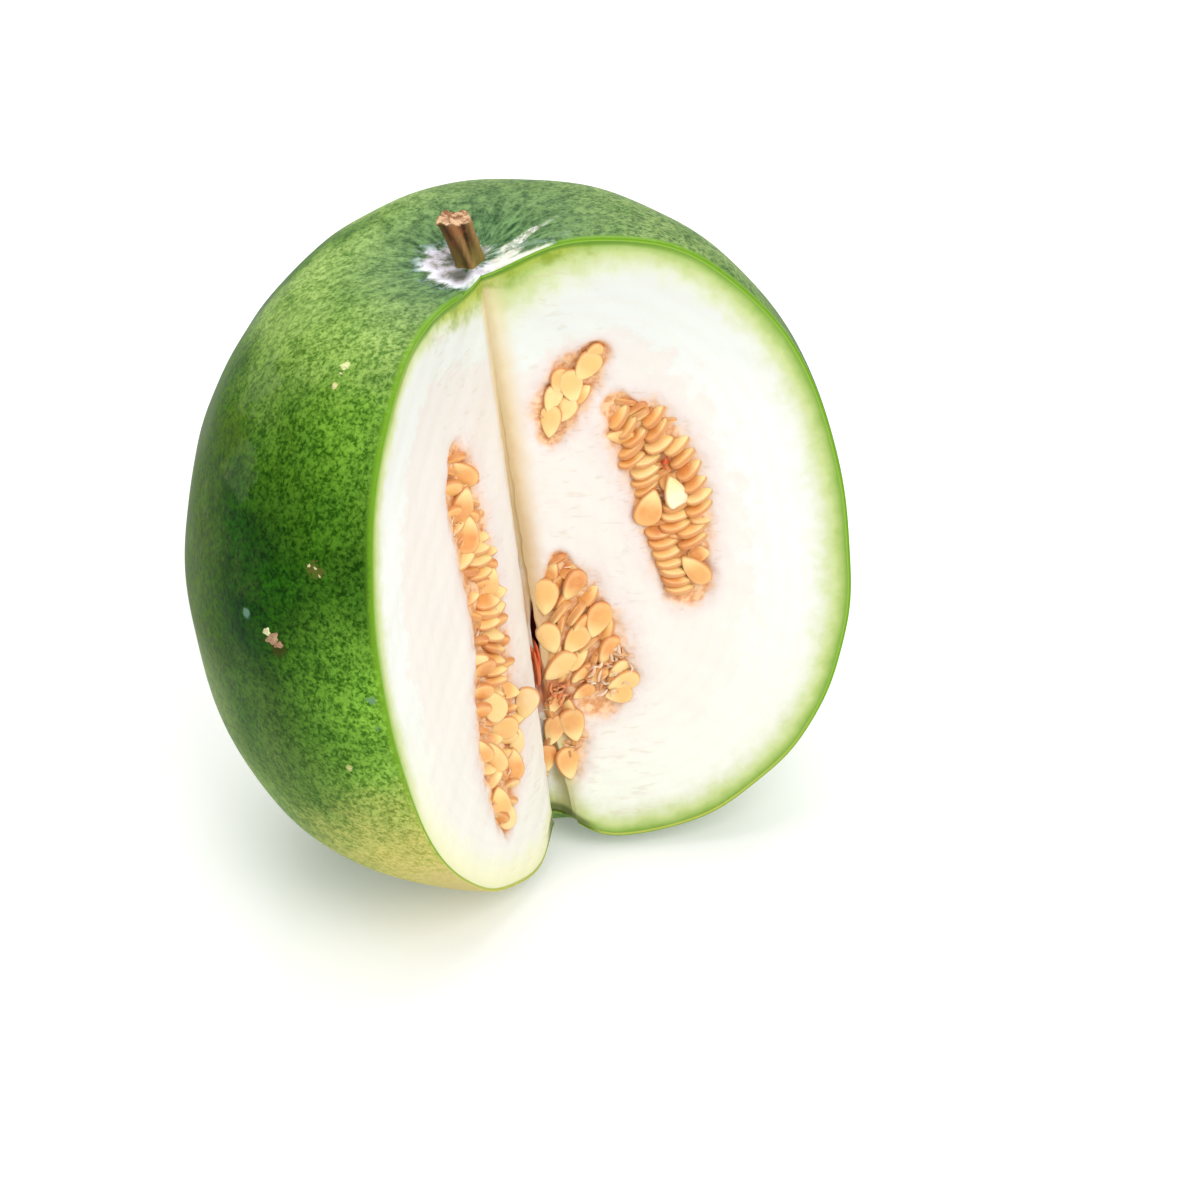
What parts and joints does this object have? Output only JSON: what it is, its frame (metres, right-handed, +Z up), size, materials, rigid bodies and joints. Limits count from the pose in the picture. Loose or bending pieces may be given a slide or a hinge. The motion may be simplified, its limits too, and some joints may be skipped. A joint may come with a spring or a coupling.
{
  "type": "cut winter melon",
  "caption": "Round winter melon with one wedge cut out from stem to base, showing white flesh and flat seeds. Leans a little and rests on its base.",
  "frame": {"origin": "middle of the melon's outline on the surface that it rests on", "axes": "+Z up, from the base to the stem end; the open notch faces -Y; +X is to the right of a viewer who looks into the notch; the melon leans 6 degrees towards -X"},
  "size_m": [0.2222, 0.2182, 0.2309],
  "materials": {
    "flesh": "moist white gourd flesh inside a mottled green waxy rind",
    "stem": "dry brown ribbed stalk",
    "rind": "waxy rind, fine dark green mottling on lighter green, with silvery wax round the stem",
    "seed": "moist orange-cream seeds in orange-brown pulp"
  },
  "bodies": {
    "root": {"melon": "flesh", "stem": "stem"}
  },
  "joints": []
}
